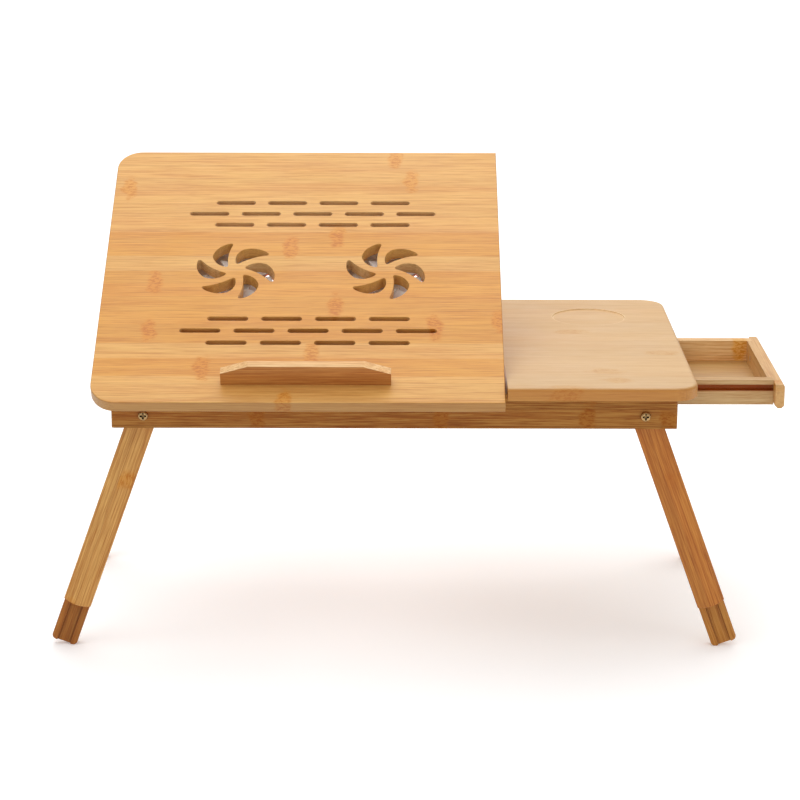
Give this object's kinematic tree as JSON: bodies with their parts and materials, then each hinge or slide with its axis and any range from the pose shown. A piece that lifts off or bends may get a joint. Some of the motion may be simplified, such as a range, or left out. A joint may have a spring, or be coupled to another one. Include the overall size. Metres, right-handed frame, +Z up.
{
  "type": "laptop desk",
  "caption": "Bamboo laptop desk: folding telescopic legs, a tilting slotted board with a fan unit under it, and a fixed side board over a small drawer.",
  "frame": {"origin": "on the floor, under the middle of the whole desk as pictured, with its drawer out and its board up", "axes": "+X to the right along the desk, towards the drawer; +Y to the back, away from the user; +Z up"},
  "size_m": [0.6836, 0.3538, 0.4263],
  "materials": {
    "bamboo_tilting": "satin",
    "bamboo_fixed": "satin",
    "bamboo_stop": "satin",
    "bamboo_frame": "satin",
    "bamboo_leg": "satin",
    "bamboo_foot": "satin",
    "bamboo_drawer": "satin",
    "bamboo_plain": "matte",
    "brass": "satin",
    "steel": "satin",
    "orange_plastic": "satin",
    "gold_foil": "satin",
    "milky_plastic": "satin",
    "black_plastic": "satin",
    "lead_rubber": "matte",
    "tie_plastic": "satin"
  },
  "bodies": {
    "frame": {"fixed_top": "bamboo_fixed", "front_rail": "bamboo_frame", "rear_rail": "bamboo_frame", "left_end_rail": "bamboo_frame", "right_end_rail": "bamboo_frame", "divider": "bamboo_frame", "frame_dowels": "bamboo_plain", "rack_rail": "bamboo_frame", "prop_rack": "bamboo_frame", "hinge_frame_leaves": "steel", "hinge_pins": "steel", "drawer_runner_front": "bamboo_drawer", "drawer_runner_rear": "bamboo_drawer", "pivot_bolts": "brass", "pivot_washers": "steel", "pivot_nuts": "steel"},
    "board": {"tilting_board": "bamboo_tilting", "laptop_stop": "bamboo_stop", "stop_screws": "steel", "hinge_board_leaves": "steel", "prop_ears": "bamboo_plain", "prop_hinge_pin": "steel", "fan_housing": "orange_plastic", "housing_screws": "steel", "fan_caps": "gold_foil", "fan_stators": "black_plastic", "usb_coil": "lead_rubber", "usb_plug_grip": "black_plastic", "usb_plug_shell": "steel", "cable_tie": "tie_plastic"},
    "prop": {"prop_strip": "bamboo_plain"},
    "fan_left": {"fan_rotor_left": "milky_plastic"},
    "fan_right": {"fan_rotor_right": "milky_plastic"},
    "drawer": {"drawer_face": "bamboo_drawer", "drawer_front": "bamboo_drawer", "drawer_back": "bamboo_drawer", "drawer_side_front": "bamboo_drawer", "drawer_side_rear": "bamboo_drawer", "drawer_bottom": "bamboo_drawer", "drawer_screws": "steel"},
    "leg_left_front": {"upper_leg_left_front": "bamboo_leg", "leg_insert_left_front": "steel"},
    "foot_left_front": {"lower_leg_left_front": "bamboo_foot"},
    "knob_left_front": {"clamp_knob_left_front": "black_plastic"},
    "leg_left_rear": {"upper_leg_left_rear": "bamboo_leg", "leg_insert_left_rear": "steel"},
    "foot_left_rear": {"lower_leg_left_rear": "bamboo_foot"},
    "knob_left_rear": {"clamp_knob_left_rear": "black_plastic"},
    "leg_right_front": {"upper_leg_right_front": "bamboo_leg", "leg_insert_right_front": "steel"},
    "foot_right_front": {"lower_leg_right_front": "bamboo_foot"},
    "knob_right_front": {"clamp_knob_right_front": "black_plastic"},
    "leg_right_rear": {"upper_leg_right_rear": "bamboo_leg", "leg_insert_right_rear": "steel"},
    "foot_right_rear": {"lower_leg_right_rear": "bamboo_foot"},
    "knob_right_rear": {"clamp_knob_right_rear": "black_plastic"}
  },
  "joints": [
    {"name": "board_tilt", "type": "hinge", "parent": "frame", "child": "board", "pos_m": [-0.0194, -0.15136, 0.25061], "axis": [1, 0, 0], "range_deg": [-29.8, 0]},
    {"name": "prop_swing", "type": "hinge", "parent": "board", "child": "prop", "pos_m": [-0.0994, -0.06826, 0.29667], "axis": [1, 0, 0], "range_deg": [-37.03, 0]},
    {"name": "fan_left_spin", "type": "hinge", "parent": "board", "child": "fan_left", "pos_m": [-0.17041, -0.01413, 0.31949], "axis": [0, -0.4985, 0.8669], "continuous": true},
    {"name": "fan_right_spin", "type": "hinge", "parent": "board", "child": "fan_right", "pos_m": [-0.0284, -0.01413, 0.31949], "axis": [0, -0.4985, 0.8669], "continuous": true},
    {"name": "drawer_slide", "type": "slide", "parent": "frame", "child": "drawer", "axis": [1, 0, 0], "range_m": [-0.0946, 0.02]},
    {"name": "leg_fold_left_front", "type": "hinge", "parent": "frame", "child": "leg_left_front", "pos_m": [-0.24813, -0.13706, 0.23211], "axis": [0, -1, 0], "range_deg": [0, 110]},
    {"name": "leg_slide_left_front", "type": "slide", "parent": "leg_left_front", "child": "foot_left_front", "axis": [0.342, 0, 0.9397], "range_m": [-0.04, 0.04]},
    {"name": "knob_turn_left_front", "type": "hinge", "parent": "leg_left_front", "child": "knob_left_front", "pos_m": [-0.28918, -0.11496, 0.11935], "axis": [0, 1, 0], "range_deg": [0, 360]},
    {"name": "leg_fold_left_rear", "type": "hinge", "parent": "frame", "child": "leg_left_rear", "pos_m": [-0.24813, 0.14094, 0.23211], "axis": [0, -1, 0], "range_deg": [0, 110]},
    {"name": "leg_slide_left_rear", "type": "slide", "parent": "leg_left_rear", "child": "foot_left_rear", "axis": [0.342, 0, 0.9397], "range_m": [-0.04, 0.04]},
    {"name": "knob_turn_left_rear", "type": "hinge", "parent": "leg_left_rear", "child": "knob_left_rear", "pos_m": [-0.28918, 0.11884, 0.11935], "axis": [0, -1, 0], "range_deg": [0, 360]},
    {"name": "leg_fold_right_front", "type": "hinge", "parent": "frame", "child": "leg_right_front", "pos_m": [0.20932, -0.13706, 0.23211], "axis": [0, 1, 0], "range_deg": [0, 110]},
    {"name": "leg_slide_right_front", "type": "slide", "parent": "leg_right_front", "child": "foot_right_front", "axis": [-0.342, 0, 0.9397], "range_m": [-0.04, 0.04]},
    {"name": "knob_turn_right_front", "type": "hinge", "parent": "leg_right_front", "child": "knob_right_front", "pos_m": [0.25037, -0.11496, 0.11935], "axis": [0, 1, 0], "range_deg": [0, 360]},
    {"name": "leg_fold_right_rear", "type": "hinge", "parent": "frame", "child": "leg_right_rear", "pos_m": [0.20932, 0.14094, 0.23211], "axis": [0, 1, 0], "range_deg": [0, 110]},
    {"name": "leg_slide_right_rear", "type": "slide", "parent": "leg_right_rear", "child": "foot_right_rear", "axis": [-0.342, 0, 0.9397], "range_m": [-0.04, 0.04]},
    {"name": "knob_turn_right_rear", "type": "hinge", "parent": "leg_right_rear", "child": "knob_right_rear", "pos_m": [0.25037, 0.11884, 0.11935], "axis": [0, -1, 0], "range_deg": [0, 360]}
  ],
  "couplings": [
    {"joint": "prop_swing", "follows": "board_tilt", "ratio": 1.2408}
  ]
}
